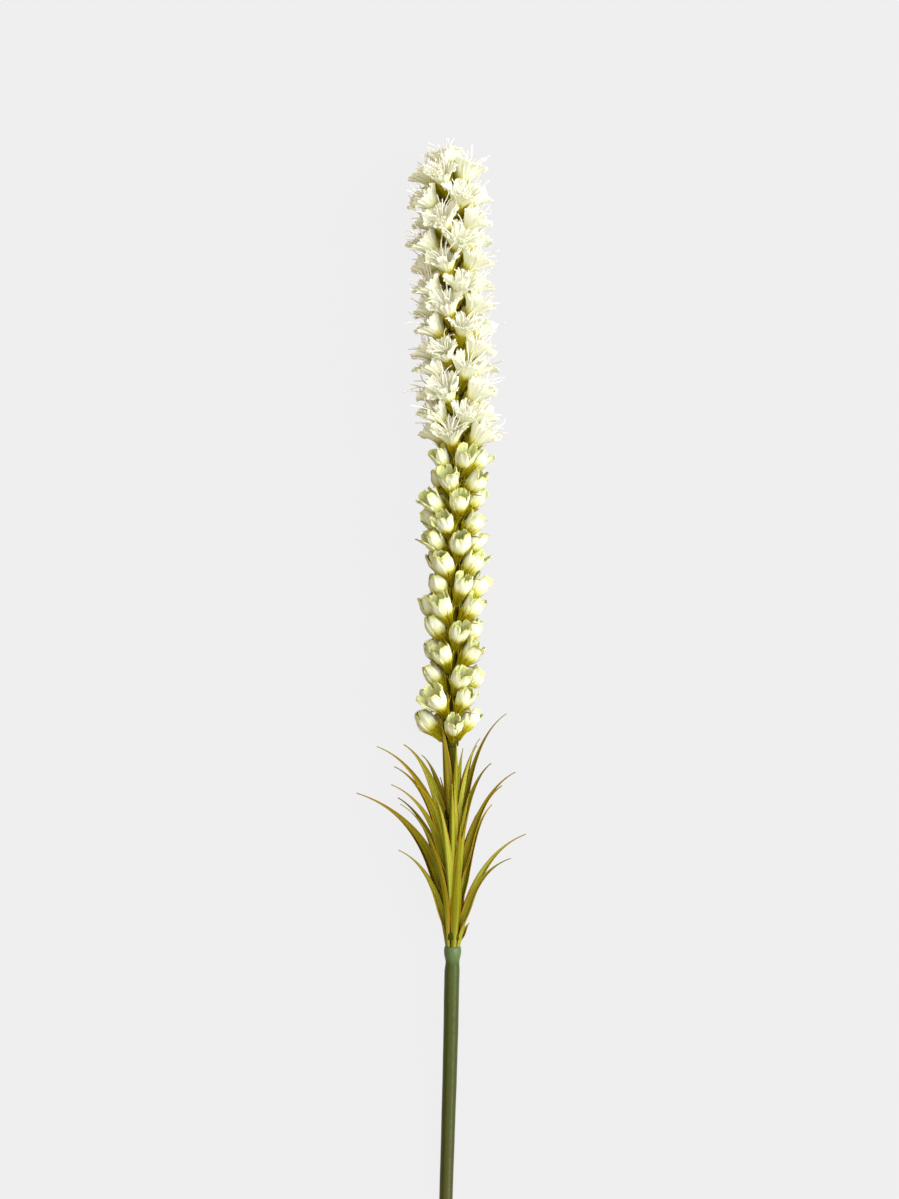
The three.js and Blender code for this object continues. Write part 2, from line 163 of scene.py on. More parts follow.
class Gathered:  # the points and faces of one piece, with values that its materials read
    def __init__(self):
        self.points, self.quads, self.quadMarks, self.caps, self.capMarks = [], [], [], [], []
        self.values = {"along": [], "across": [], "tone": []}
        self.count = 0

    def add(self, points, quads, caps, mark, along, across=0.0, tone=0.5):
        points = points.reshape(-1, 3)
        self.points.append(points)
        self.quads.append(quads + self.count)
        self.quadMarks += [mark] * len(quads)
        self.caps += [[int(k) + self.count for k in cap] for cap in caps]
        self.capMarks += [mark] * len(caps)
        for name, value in (("along", along), ("across", across), ("tone", tone)):
            self.values[name].append(np.broadcast_to(np.asarray(value, float).reshape(-1), len(points)))
        self.count += len(points)


def gridQuads(rows, columns, loopRows=False, loopColumns=False):
    down = np.arange(rows if loopRows else rows - 1)
    aside = np.arange(columns if loopColumns else columns - 1)
    i, j = np.meshgrid(down, aside, indexing="ij")
    below, right = (i + 1) % rows, (j + 1) % columns
    corners = [i * columns + j, i * columns + right, below * columns + right, below * columns + j]
    return np.stack(corners, axis=-1).reshape(-1, 4)


# A loft's rings wind about their way forward. A looped one closes on itself and has no ends.
def addLoft(gathered, rings, mark, along, tone=0.5, looped=False):
    rows, sides = rings.shape[:2]
    caps = [] if looped else [range(sides - 1, -1, -1), range((rows - 1) * sides, rows * sides)]
    quads = gridQuads(rows, sides, looped, True)
    gathered.add(rings, quads, caps, mark, np.repeat(np.broadcast_to(along, rows), sides), tone=tone)


def addTube(gathered, path, radii, sides, mark, along, tone=0.5):
    tangents = unit(np.gradient(path, axis=0))
    turns = evenTurns(sides)[:, None]
    normal = unit(np.cross(tangents[0], [0.31, 0.22, 0.92]))
    rings = []
    for middle, tangent, radius in zip(path, tangents, radii):
        normal = unit(normal - tangent * (normal @ tangent))
        binormal = np.cross(tangent, normal)
        rings.append(middle + radius * (np.cos(turns) * normal + np.sin(turns) * binormal))
    addLoft(gathered, restOnTable(np.array(rings)), mark, along, tone)


# A thin closed sheet. The inner face of a cup can have its own value along it.
def addSheet(gathered, grid, thickness, along, across, tone, inside=None):
    rows, columns = grid.shape[:2]
    normals = unit(np.cross(np.gradient(grid, axis=0), np.gradient(grid, axis=1)))
    half = np.broadcast_to(thickness, (rows, columns))[..., None] / 2
    front, back = grid + normals * half, grid - normals * half
    quads = gridQuads(rows, columns)
    size = rows * columns
    rim = list(range(columns)) + [i * columns + columns - 1 for i in range(1, rows)]
    rim += [(rows - 1) * columns + k for k in range(columns - 2, -1, -1)]
    rim += [i * columns for i in range(rows - 2, 0, -1)]
    rim = np.array(rim)
    after = np.roll(rim, -1)
    edge = np.stack([rim, after, after + size, rim + size], axis=-1)
    allQuads = np.vstack([quads[:, ::-1], quads + size, edge])
    sides = [along if inside is None else inside, along, across, across]
    sides = [np.broadcast_to(value, (rows, columns)).ravel() for value in sides]
    alongAll, acrossAll = np.concatenate(sides[:2]), np.concatenate(sides[2:])
    points = restOnTable(np.concatenate([front.reshape(-1, 3), back.reshape(-1, 3)]))
    gathered.add(points, allQuads, [], marks["petal"], alongAll, acrossAll, tone)


def makePiece(name, gathered, materials, node):
    mesh = bpy.data.meshes.new(name)
    faces = np.vstack(gathered.quads).tolist() + gathered.caps
    mesh.from_pydata(placeInFrame(np.vstack(gathered.points)).tolist(), [], faces)
    for material in materials:
        mesh.materials.append(material)
    mesh.polygons.foreach_set("material_index", gathered.quadMarks + gathered.capMarks)
    for label, parts in gathered.values.items():
        attribute = mesh.attributes.new(label, "FLOAT", "POINT")
        attribute.data.foreach_set("value", np.concatenate(parts).astype(np.float32))
    mesh.shade_smooth()
    mesh.set_sharp_from_angle(angle=math.radians(80))
    piece = bpy.data.objects.new(name, mesh)
    bpy.context.scene.collection.objects.link(piece)
    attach(piece, "root")
    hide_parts(node)


# Materials

def newNode(tree, kind, inputs=None, **settings):
    made = tree.nodes.new("ShaderNode" + kind)
    for name, value in settings.items():
        setattr(made, name, value)
    for name, value in (inputs or {}).items():
        if isinstance(value, bpy.types.NodeSocket):
            tree.links.new(value, made.inputs[name])
        else:
            made.inputs[name].default_value = value
    return made


def meshValue(tree, name):
    return newNode(tree, "Attribute", attribute_name=name, attribute_type="GEOMETRY").outputs["Fac"]


def colorRamp(tree, factor, stops):
    ramp = newNode(tree, "ValToRGB", {"Fac": factor})
    elements = ramp.color_ramp.elements
    while len(elements) < len(stops):
        elements.new(0.5)
    for element, (position, color) in zip(elements, stops):
        element.position = position
        element.color = (*color, 1)
    return ramp.outputs["Color"]


def maths(tree, operation, first, second):
    return newNode(tree, "Math", {0: first, 1: second}, operation=operation).outputs[0]


def mixed(tree, factor, first, second, blend="MIX"):
    made = newNode(tree, "MixRGB", {"Fac": factor, "Color1": first, "Color2": second}, blend_type=blend)
    return made.outputs["Color"]


def fade(tree, value, band, top=1.0):  # rises from 0 to the top while the value crosses the band
    made = newNode(tree, "MapRange", {"Value": value, "From Min": band[0], "From Max": band[1], "To Max": top})
    return made.outputs[0]


def streaks(tree, look):  # fine lines that run from a petal's base to its edge, other ones on each petal
    vector = newNode(tree, "CombineXYZ", {
        "X": maths(tree, "MULTIPLY", meshValue(tree, "across"), look["lines"]),
        "Y": maths(tree, "MULTIPLY", meshValue(tree, "along"), look["stretch"]),
        "Z": maths(tree, "MULTIPLY", meshValue(tree, "tone"), 40.0),
    })
    inputs = {"Vector": vector.outputs[0], "Scale": 1.0, "Detail": 3.0, "Roughness": 0.6}
    return newNode(tree, "TexNoise", inputs).outputs["Fac"]


def speckle(tree, size, detail=2.0):  # noise with lumps of a size in millimetres
    where = newNode(tree, "TexCoord").outputs["Object"]
    noise = newNode(tree, "TexNoise", {"Vector": where, "Scale": 1000.0 / size, "Detail": detail})
    return noise.outputs["Fac"]


def newTree(name):
    material = bpy.data.materials.new(name)
    material.use_nodes = True
    material.node_tree.nodes.clear()
    return material, material.node_tree


def finished(color, height, look, throughColor=None):
    tree = color.id_data
    bump = newNode(tree, "Bump", {"Height": height, "Distance": look["depth"] * 0.001, "Strength": 0.8})
    skin = newNode(tree, "BsdfPrincipled", {
        "Base Color": color, "Roughness": look["roughness"], "Specular IOR Level": look["specular"],
        "Normal": bump.outputs[0],
    })
    surface = skin.outputs[0]
    if look["through"]:  # thin plastic and cloth let light through
        glow = newNode(tree, "BsdfTranslucent", {"Color": throughColor or color, "Normal": bump.outputs[0]})
        surface = newNode(tree, "MixShader", {0: look["through"], 1: surface, 2: glow.outputs[0]}).outputs[0]
    newNode(tree, "OutputMaterial", {"Surface": surface})


petalGrain = {  # alike on open petals and buds
    "veinBand": (0.42, 0.62), "patchSize": 9.0, "patchBand": (0.35, 0.65), "rimBand": (0.90, 1.0),
    "brownGain": 1.5, "weave": 0.35, "weaveShare": 0.3,
}


def petalMaterial(name, look):
    material, tree = newTree(name)
    lines = streaks(tree, look)
    strayed = maths(tree, "MULTIPLY", maths(tree, "SUBTRACT", lines, 0.5), look["wander"])
    color = colorRamp(tree, maths(tree, "ADD", meshValue(tree, "along"), strayed), look["stops"])
    inked = maths(tree, "MULTIPLY", fade(tree, lines, petalGrain["veinBand"]), look["veins"])
    color = mixed(tree, inked, color, look["streak"], "MULTIPLY")
    patch = fade(tree, speckle(tree, petalGrain["patchSize"]), petalGrain["patchBand"])
    color = mixed(tree, maths(tree, "MULTIPLY", patch, look["patches"]), color, look["patchColor"], "MULTIPLY")
    if look["brownShare"]:  # the rims of some petals have turned brown
        rim = fade(tree, meshValue(tree, "along"), petalGrain["rimBand"])
        chosen = maths(tree, "LESS_THAN", meshValue(tree, "tone"), look["brownShare"])
        wilted = maths(tree, "MULTIPLY", maths(tree, "MULTIPLY", rim, chosen), lines)
        color = mixed(tree, maths(tree, "MULTIPLY", wilted, petalGrain["brownGain"]), color, look["brown"])
    weave = maths(tree, "MULTIPLY", speckle(tree, petalGrain["weave"]), petalGrain["weaveShare"])
    glow = mixed(tree, 1.0, color, look["glow"], "MULTIPLY")
    finished(color, maths(tree, "ADD", lines, weave), look, glow)
    return material


def leafMaterial(look):
    material, tree = newTree("leafPlastic")
    across = maths(tree, "ABSOLUTE", meshValue(tree, "across"), 0.0)
    along = meshValue(tree, "along")
    strayed = maths(tree, "MULTIPLY", speckle(tree, look["blotch"]), look["rimWander"])
    rim = fade(tree, maths(tree, "ADD", across, strayed), look["rimBand"])
    green = colorRamp(tree, meshValue(tree, "tone"), look["greens"])
    green = mixed(tree, fade(tree, along, look["footBand"]), look["foot"], green)
    color = mixed(tree, maths(tree, "MULTIPLY", rim, look["rimShare"]), green, look["rim"])
    tip = maths(tree, "MULTIPLY", fade(tree, along, look["tipBand"]), look["tipShare"])
    color = mixed(tree, tip, color, look["tip"])
    lines = streaks(tree, look)
    color = mixed(tree, fade(tree, lines, look["lineBand"], look["lineShare"]), color, look["line"], "MULTIPLY")
    finished(color, lines, look)
    return material


def stemMaterial(look):
    material, tree = newTree("stemPlastic")
    base = colorRamp(tree, meshValue(tree, "along"), look["colors"])
    blotch = fade(tree, speckle(tree, look["blotchSize"]), look["blotchBand"])
    base = mixed(tree, maths(tree, "MULTIPLY", blotch, look["blotchShare"]), base, look["blotch"])
    flecks = maths(tree, "MULTIPLY", speckle(tree, look["fleckSize"], 4.0), look["fleckShare"])
    base = mixed(tree, flecks, base, look["fleck"], "MULTIPLY")
    finished(base, maths(tree, "ADD", speckle(tree, look["lumpSize"]), flecks), look)
    return material


barkGrain = {"fleckShare": 0.6, "lines": 9.0, "stretch": 0.6}


def barkMaterial(name, look):  # the dark ribbed rod, the sleeves, the calyces and the bracts
    material, tree = newTree(name)
    base = colorRamp(tree, meshValue(tree, "along"), look["colors"])
    fine = speckle(tree, look["grain"], 3.0)
    base = mixed(tree, maths(tree, "MULTIPLY", fine, barkGrain["fleckShare"]), base, look["fleck"], "MULTIPLY")
    base = mixed(tree, meshValue(tree, "tone"), base, look["shade"], "MULTIPLY")
    finished(base, maths(tree, "ADD", fine, streaks(tree, barkGrain)), look)
    return material


def threadMaterial(look):
    material, tree = newTree("threadPlastic")
    color = colorRamp(tree, meshValue(tree, "along"), look["colors"])
    finished(color, speckle(tree, look["grain"]), look)
    return material


looks = {  # grain and blotches are measured in millimetres
    "openPetal": {
        "stops": [(0.0, (0.32, 0.26, 0.010)), (0.15, (0.58, 0.51, 0.035)), (0.30, (0.86, 0.85, 0.40)),
                  (0.44, (0.93, 0.945, 0.80)), (0.62, (0.95, 0.965, 0.91)), (1.0, (0.955, 0.97, 0.94))],
        "lines": 14.0, "stretch": 1.2, "wander": 0.26, "veins": 0.16, "streak": (0.86, 0.86, 0.70, 1),
        "patches": 0.06, "patchColor": (0.95, 0.95, 0.86, 1), "brownShare": 0,
        "depth": 0.05, "roughness": 0.7, "specular": 0.1, "through": 0.48, "glow": (1.0, 1.0, 0.94, 1),
    },
    "budPetal": {
        "stops": [(0.0, (0.42, 0.36, 0.012)), (0.15, (0.59, 0.54, 0.045)), (0.34, (0.81, 0.83, 0.44)),
                  (0.52, (0.85, 0.88, 0.83)), (0.76, (0.85, 0.88, 0.85)), (0.90, (0.72, 0.78, 0.33)),
                  (1.0, (0.83, 0.87, 0.58))],
        "lines": 8.0, "stretch": 1.0, "wander": 0.12, "veins": 0.46, "streak": (0.77, 0.81, 0.40, 1),
        "patches": 0.14, "patchColor": (0.84, 0.88, 0.52, 1),
        "brownShare": 0.34, "brown": (0.36, 0.25, 0.05, 1),
        "depth": 0.3, "roughness": 0.6, "specular": 0.15, "through": 0.30, "glow": (0.98, 0.90, 0.60, 1),
    },
    "thread": {
        "colors": [(0.0, (0.93, 0.91, 0.80)), (1.0, (0.95, 0.95, 0.90))], "grain": 0.6,
        "depth": 0.05, "roughness": 0.4, "specular": 0.4, "through": 0.25,
    },
    "leaf": {
        "greens": [(0.0, (0.20, 0.16, 0.003)), (0.35, (0.22, 0.21, 0.004)), (0.65, (0.28, 0.29, 0.010)),
                   (1.0, (0.38, 0.42, 0.06))],
        "foot": (0.26, 0.28, 0.03, 1), "footBand": (0.0, 0.3), "blotch": 14.0,
        "rim": (0.32, 0.17, 0.006, 1), "rimShare": 0.8, "rimBand": (0.80, 1.2), "rimWander": 0.5,
        "tip": (0.36, 0.25, 0.025, 1), "tipShare": 0.6, "tipBand": (0.62, 1.02),
        "line": (0.55, 0.56, 0.30, 1), "lineShare": 0.85, "lineBand": (0.42, 0.6), "lines": 7.0, "stretch": 1.2,
        "depth": 0.12, "roughness": 0.55, "specular": 0.14, "through": 0.16,
    },
    "stem": {
        "colors": [(0.0, (0.045, 0.037, 0.005)), (0.45, (0.037, 0.042, 0.005)), (0.85, (0.034, 0.050, 0.006)),
                   (0.955, (0.039, 0.063, 0.010)), (0.97, (0.082, 0.136, 0.051)), (1.0, (0.092, 0.151, 0.063))],
        "blotch": (0.048, 0.043, 0.005, 1), "blotchShare": 0.45, "blotchSize": 22.0, "blotchBand": (0.4, 0.7),
        "fleck": (0.72, 0.76, 0.62, 1), "fleckShare": 0.35, "fleckSize": 1.1, "lumpSize": 5.0,
        "depth": 0.25, "roughness": 0.34, "specular": 0.17, "through": 0.0,
    },
    "axis": {
        # From 0.66 on, where the open florets stand, the rod turns gold: painted light that lifts the shade in
        # the gaps between the florets.
        "colors": [(0.0, (0.045, 0.046, 0.002)), (0.45, (0.060, 0.055, 0.002)), (0.66, (0.27, 0.23, 0.012)),
                   (1.0, (0.40, 0.34, 0.025))],
        "fleck": (0.55, 0.55, 0.3, 1), "grain": 0.8, "shade": (0.9, 0.9, 0.9, 1),
        "depth": 0.2, "roughness": 0.7, "specular": 0.04, "through": 0.0,
    },
    "calyx": {
        "colors": [(0.0, (0.30, 0.26, 0.008)), (0.5, (0.60, 0.52, 0.012)), (0.85, (0.80, 0.70, 0.03)),
                   (1.0, (0.84, 0.74, 0.07))],
        "fleck": (0.72, 0.70, 0.42, 1), "grain": 0.7, "shade": (0.50, 0.45, 0.24, 1),
        "depth": 0.12, "roughness": 0.55, "specular": 0.08, "through": 0.25,
    },
    "bract": {
        "colors": [(0.0, (0.24, 0.22, 0.02)), (0.5, (0.22, 0.14, 0.025)), (1.0, (0.14, 0.06, 0.018))],
        "fleck": (0.8, 0.75, 0.6, 1), "grain": 0.7, "shade": (1.0, 1.0, 1.0, 1),
        "depth": 0.1, "roughness": 0.5, "specular": 0.2, "through": 0.0,
    },
}

openPetalCloth = petalMaterial("openPetalCloth", looks["openPetal"])
budPetalCloth = petalMaterial("budPetalCloth", looks["budPetal"])
threadPlastic = threadMaterial(looks["thread"])
leafPlastic = leafMaterial(looks["leaf"])
stemPlastic = stemMaterial(looks["stem"])
axisPlasticPaintedGapLight = barkMaterial("axisPlasticPaintedGapLight", looks["axis"])
calyxPlastic = barkMaterial("calyxPlastic", looks["calyx"])
bractPlastic = barkMaterial("bractPlastic", looks["bract"])
print("materials ready")

# Stem

stem = {
    "foot": 2.2, "footShare": 0.93, "slant": 0.6, "slantTo": 12, "sides": 44, "step": 3.0, "firstStep": 0.25,
    "radius": 3.32, "topRadius": 3.76, "neck": 191.4, "wobble": 0.012, "seam": 0.06, "seamWidth": 0.07,
    "collar": [(192.4, 3.48), (193.4, 3.55), (194.5, 3.76), (195.6, 4.08), (196.8, 4.3), (198.0, 4.38),
               (199.2, 4.34), (200.1, 4.18), (200.7, 3.92), (201.0, 3.6)],
    "lumps": 0.05, "bore": 3.3, "borePlaces": (201.0, 199.0, 189.4), "softness": 0.25,
}


def wavy(place, turns, seed, size):  # a slow unevenness round and along a rod
    waves = [np.sin(turns * k + place * 0.21 * k + phase(seed + k)) / k for k in (1, 2, 3, 5)]
    return 1 + size * sum(waves) / 2


def makeStem():
    gathered = Gathered()
    turns = evenTurns(stem["sides"])
    seams = [np.exp(-((turns - side) / stem["seamWidth"]) ** 2) for side in (math.pi / 2, 1.5 * math.pi)]
    seam = stem["seam"] * (seams[0] + seams[1])  # the mould's two seams
    rings, along = [], []

    def addRing(place, radius, uneven, slant=0.0, raised=0.0):
        rings.append(axisRing(place, radius * wavy(place, turns, 5, uneven) + raised, turns, slant))
        along.append(place / route["socketTop"])

    addRing(stem["foot"], stem["radius"] * stem["footShare"], stem["wobble"], stem["slant"], seam)
    for place in np.arange(stem["foot"] + stem["firstStep"], stem["neck"], stem["step"]):
        radius = lerp(stem["radius"], stem["topRadius"], smooth(place, route["riseFrom"], stem["neck"]))
        slant = stem["slant"] * (1 - smooth(place, stem["foot"], stem["slantTo"]))
        addRing(place, radius, stem["wobble"], slant, seam)
    for place, radius in stem["collar"]:
        addRing(place, radius, stem["lumps"])
    for place in stem["borePlaces"]:
        addRing(place, stem["bore"], 0.0)
    addLoft(gathered, restOnTable(np.array(rings), stem["softness"]), 0, np.array(along))
    makePiece("cutStem", gathered, [stemPlastic], "stem")


# Flower axis: a ribbed rod, dark olive among the buds and leaves; under the open florets it is coloured gold,
# painted light that lifts the shade in the gaps between the florets

rod = {"ribs": 9, "rib": 0.045, "share": 0.9, "step": 5.0, "twist": 0.03, "uneven": 0.02}


def makeRod():
    gathered = Gathered()
    turns = evenTurns(4 * rod["ribs"])
    places = np.arange(route["axisFrom"], route["axisTo"], rod["step"]).tolist() + [route["axisTo"]]
    rings = []
    for place in places:
        ribbed = rod["share"] + rod["rib"] * np.cos(rod["ribs"] * turns + place * rod["twist"])
        radius = axisRadius(max(place, route["socketTop"])) * ribbed * wavy(place, turns, 11, rod["uneven"])
        rings.append(axisRing(place, radius, turns))
    along = (np.array(places) - places[0]) / (places[-1] - places[0])
    addLoft(gathered, np.array(rings), 0, along)
    makePiece("ribbedRodPaintedGapLight", gathered, [axisPlasticPaintedGapLight], "flower_axis")


# Sleeves: each whorl and tuft sits on one. The outline gives places from its foot, and its wall there.

sleeve = {
    "sides": 20, "gap": 0.3, "uneven": 0.02, "shade": 0.3,
    "outline": [(-0.6, 0.0), (-0.6, 0.55), (-0.25, 0.85), (0.8, 1.0), (2.4, 0.95), (3.3, 0.75), (3.6, 0.45),
                (3.6, 0.0)],
}


def addSleeve(gathered, foot, mark):
    turns = evenTurns(sleeve["sides"])
    uneven = wavy(foot, turns, foot, sleeve["uneven"])
    rings = []
    for place, wall in sleeve["outline"]:
        radius = axisRadius(foot + place) + sleeve["gap"] + wall
        rings.append(axisRing(foot + place, radius * uneven, turns))
    addLoft(gathered, np.array(rings), mark, sleeve["shade"], looped=True)


# Leaves: each blade is given by its turn round the axis, its reach and its height

tufts = [
    {"foot": 205, "blades": [(-82, 29, 44), (-48, 38, 70), (12, 9, 58), (66, 30, 43), (97, 35, 53),
                             (-100, 45, 68), (152, 20, 60), (-140, 22, 52), (122, 9.5, 7)]},
    {"foot": 217, "blades": [(-90, 50, 60), (-14, 10, 67), (-120, 34, 56), (125, 22, 54), (-30, 22, 62),
                             (178, 16, 60)]},
    {"foot": 229, "blades": [(-66, 34, 55), (-38, 30, 56), (84, 31, 60), (104, 25, 52), (-160, 20, 55),
                             (40, 12, 50)]},
    {"foot": 241, "blades": [(-78, 38, 62), (58, 23, 53), (-105, 30, 50), (140, 18, 50), (8, 8, 44)]},
    {"foot": 252.5, "blades": [(-98, 24, 50), (86, 28, 65), (46, 20, 54), (18, 8.5, 51), (-168, 16, 48)]},
    {"foot": 266, "blades": [(-112, 16, 31), (-24, 11, 50), (38, 10, 35), (165, 12, 36), (110, 14, 35)]},
]
blade = {
    "rows": 30, "columns": 9, "width": 4.8, "uneven": 0.24, "shortShare": 0.35, "fullAt": 60,
    "rootShare": 0.42, "wideAt": 0.34, "tipShare": 0.08, "narrowFrom": 0.32, "fold": 0.84, "foldPower": 1.25,
    "thickness": 0.62, "tipThickness": 0.34, "edgeThinner": 0.45, "twist": 0.5, "twistFrom": 0.2,
    "seat": 0.55, "standOff": 2.8, "low": 0.2, "high": 0.82, "bow": 0.12, "lowest": 0.9,
    "facing": 0.85, "turnedAt": 0.4, "sunk": -1.6, "firstSunk": -4.2,
}


def addBlade(gathered, foot, turn, reach, climb, seed):
    middle, along, up, right = axisFrame(foot)
    angle = math.radians(turn)
    out = math.cos(angle) * up + math.sin(angle) * right
    start = axisRadius(foot) + blade["seat"]
    stand = start + blade["standOff"]
    sunk = blade["firstSunk"] if foot == tufts[0]["foot"] else blade["sunk"]
    distances = [start, stand, stand + blade["bow"] * reach, reach]
    heights = [sunk, blade["low"] * climb, blade["high"] * climb, climb]
    t = np.linspace(0, 1, blade["rows"])
    weights = [(1 - t) ** 3, 3 * t * (1 - t) ** 2, 3 * t ** 2 * (1 - t), t ** 3]
    distance = sum(w * value for w, value in zip(weights, distances))
    height = sum(w * value for w, value in zip(weights, heights))
    path = middle + distance[:, None] * out + height[:, None] * along
    path[:, 2] = np.maximum(path[:, 2], blade["lowest"])
    tangent = unit(np.gradient(path, axis=0))
    turned = smooth(t, 0, blade["turnedAt"])[:, None]
    sideways = 1 - smooth(out @ up, 0.3, 0.8)  # a blade in front of the axis keeps its channel to the axis
    facing = out * lerp(-1, -0.5, turned) + up * blade["facing"] * sideways * turned
    flat = unit(np.cross(facing, tangent))
    raised = np.cross(tangent, flat)
    twist = (blade["twist"] * swing(seed + 3) * smooth(t, blade["twistFrom"], 1.0))[:, None]
    side = flat * np.cos(twist) + raised * np.sin(twist)
    normal = raised * np.cos(twist) - flat * np.sin(twist)
    width = blade["width"] * (1 + blade["uneven"] * swing(seed))
    width = width * min(1, blade["shortShare"] + climb / blade["fullAt"])
    widening = lerp(blade["rootShare"], 1, smooth(t, 0, blade["wideAt"]))
    narrowing = lerp(1, blade["tipShare"], smooth(t, blade["narrowFrom"], 1.0))
    half = (width / 2 * (widening * narrowing))[:, None]
    across = np.linspace(-1, 1, blade["columns"])[None, :]
    channel = blade["fold"] * half * np.abs(across) ** blade["foldPower"]
    grid = path[:, None] + (across * half)[..., None] * side[:, None] + channel[..., None] * normal[:, None]
    thinner = 1 - blade["edgeThinner"] * across ** 2
    thickness = lerp(blade["thickness"], blade["tipThickness"], t)[:, None] * thinner
    addSheet(gathered, grid, thickness, t[:, None], across, chance(seed + 5))


def makeTuft(index):
    tuft = tufts[index]
    gathered = Gathered()
    addSleeve(gathered, tuft["foot"], 1)  # 1 is axisPlasticPaintedGapLight in the list of two below
    for k, (turn, reach, climb) in enumerate(tuft["blades"]):
        addBlade(gathered, tuft["foot"], turn, reach, climb, 300 + 20 * index + k)
    label = f"{index + 1:02d}"
    makePiece("leafTuft" + label, gathered, [leafPlastic, axisPlasticPaintedGapLight], "leaf_tuft_" + label)


# Florets: where each stands and how it leans, and points given as radius, turn and height round its middle

whorl = {
    "count": 4, "turnWander": 2, "leanWander": 1.5, "sunk": 1.6, "seat": 0.55, "lastStart": 6.5,
    "tableSink": 1.2,
    "buds": [(302, 16), (314, -29), (325.5, 17), (337, -28), (348, 18), (359, -27), (370, 19), (381, -26),
             (391.5, 19), (402, -26), (412.5, 18), (423, -27), (433.5, 17)],  # foot and first turn of each
    "openCount": 12, "openFrom": 444.5, "openPitch": 10.7, "openTurn": -22.5, "openStep": 45,
    "budLean": 34, "openLean": 38, "budLength": 21, "openLength": 20.6, "budRadius": 5.2, "openRadius": 9.6,
}
crown = {
    "foot": 573, "turn": 67.5, "lean": 30, "tip": 578.5, "seed": 1800,
    "outline": [(578.3, 0.0), (572.4, 0.0), (572.4, 0.7), (573, 1.0), (579, 0.9), (580.6, 0.5), (581.1, -0.6)],
}
strays = {  # no two florets have quite the same size or stand
    "bud": {"size": (0.89, 1.08), "spin": 36, "lean": 0.15},
    "open": {"size": (0.94, 1.04), "spin": 14, "lean": 0.12},
    "crown": {"size": (0.97, 1.03), "spin": 20, "lean": 0.10},
}


def standFloret(foot, turn, wishedLean, length, radius):
    middle, along, up, right = axisFrame(foot)
    out = math.cos(turn) * up + math.sin(turn) * right
    base = middle + out * whorl["sunk"]

    def lowest(lean):
        fall = -out[2] * math.sin(lean) - along[2] * math.cos(lean)
        return base[2] - length * fall - radius * math.sqrt(1 - fall * fall)

    lean = wishedLean
    while lean > 0 and lowest(lean) < -whorl["tableSink"]:  # the table holds it up
        lean -= 0.01
    inner = along * math.sin(lean) - out * math.cos(lean)
    forward = along * math.cos(lean) + out * math.sin(lean)
    reach = axisRadius(foot) + whorl["seat"]
    start = (reach - whorl["sunk"]) / math.sin(lean) if lean > 0 else 0.0
    return {
        "base": base, "out": out, "along": forward, "inner": inner, "side": np.cross(forward, inner),
        "start": min(start, whorl["lastStart"]), "size": 1.0, "spin": 0.0,
    }


def unsettle(place, seed, stray):
    place["size"] = lerp(*stray["size"], chance(seed + 1.5))
    place["spin"] = math.radians(stray["spin"]) * swing(seed + 2.5)
    tilt, yaw = stray["lean"] * swing(seed + 3.5), stray["lean"] * swing(seed + 4.5)
    along, inner, side = place["along"], place["inner"], place["side"]
    along = unit(along + tilt * inner + yaw * side)
    side = unit(side - along * (side @ along))
    place.update({"along": along, "side": side, "inner": np.cross(side, along)})
    return place


def floretPoints(place, radius, turn, height):
    radius, turn, height = (np.asarray(value, float)[..., None] for value in (radius, turn, height))
    turn = turn + place["spin"]
    across = radius * (np.cos(turn) * place["inner"] + np.sin(turn) * place["side"])
    return place["base"] + place["size"] * (height * place["along"] + across)


def whorlPlaces(foot, firstTurn, lean, length, radius, seed):
    places = []
    for k in range(whorl["count"]):
        turn = math.radians(firstTurn + 90 * k + whorl["turnWander"] * swing(seed + k))
        ownLean = math.radians(lean + whorl["leanWander"] * swing(seed + 10 + k))
        places.append(standFloret(foot, turn, ownLean, length, radius))
    return places


def addRings(gathered, place, profile, sides, along, tone, ridges=0.0, squeeze=0.0):
    turns = evenTurns(sides)
    narrow = 1 - squeeze * (0.5 + 0.5 * np.cos(turns)) ** 1.5
    ridged = 1 + ridges * np.where(np.arange(sides) % 2, 1, -1)
    rings = [floretPoints(place, radius * ridged * narrow, turns, height) for height, radius in profile]
    addLoft(gathered, restOnTable(np.array(rings)), marks["calyx"], along, tone)


bristle = {
    "radius": 0.30, "tipRadius": 0.07, "sides": 4, "steps": 6, "gap": 0.1, "spread": 1.5, "spreadPower": 3,
    "shortest": 0.7, "longer": 0.45, "turnWander": 0.4, "bend": 0.14, "taper": 1.5,
}


def addBristles(gathered, place, cup, skin, seed):  # needles that lie along the skin of a tube or calyx
    t = np.linspace(0, 1, bristle["steps"])
    low, high = cup["needleSpan"]
    radii = lerp(bristle["radius"], bristle["tipRadius"], t ** bristle["taper"])
    for k in range(cup["needles"]):
        turn = 2 * math.pi * (k + bristle["turnWander"] * swing(seed + 5 * k)) / cup["needles"]
        grown = bristle["shortest"] + bristle["longer"] * chance(seed + 5 * k + 1)
        height = low + (high - low) * grown * t
        spread = bristle["spread"] * chance(seed + 5 * k + 2) ** 2
        radius = np.interp(height, *skin) + bristle["gap"] + spread * t ** bristle["spreadPower"]
        bend = bristle["bend"] * swing(seed + 5 * k + 3) * t
        path = floretPoints(place, radius, turn + bend, height)
        addTube(gathered, path, radii, bristle["sides"], marks["calyx"], t, chance(seed + k))


def addCup(gathered, place, cup, tone):  # the tube or calyx that a floret stands in
    foot = place["start"] - cup["sunk"]
    profile = [(lerp(foot, cup["top"], share), radius) for share, radius in cup["profile"]]
    shades = np.linspace(*cup["shades"], len(profile))
    addRings(gathered, place, profile, cup["sides"], shades, tone, cup["ridges"])


# Open florets

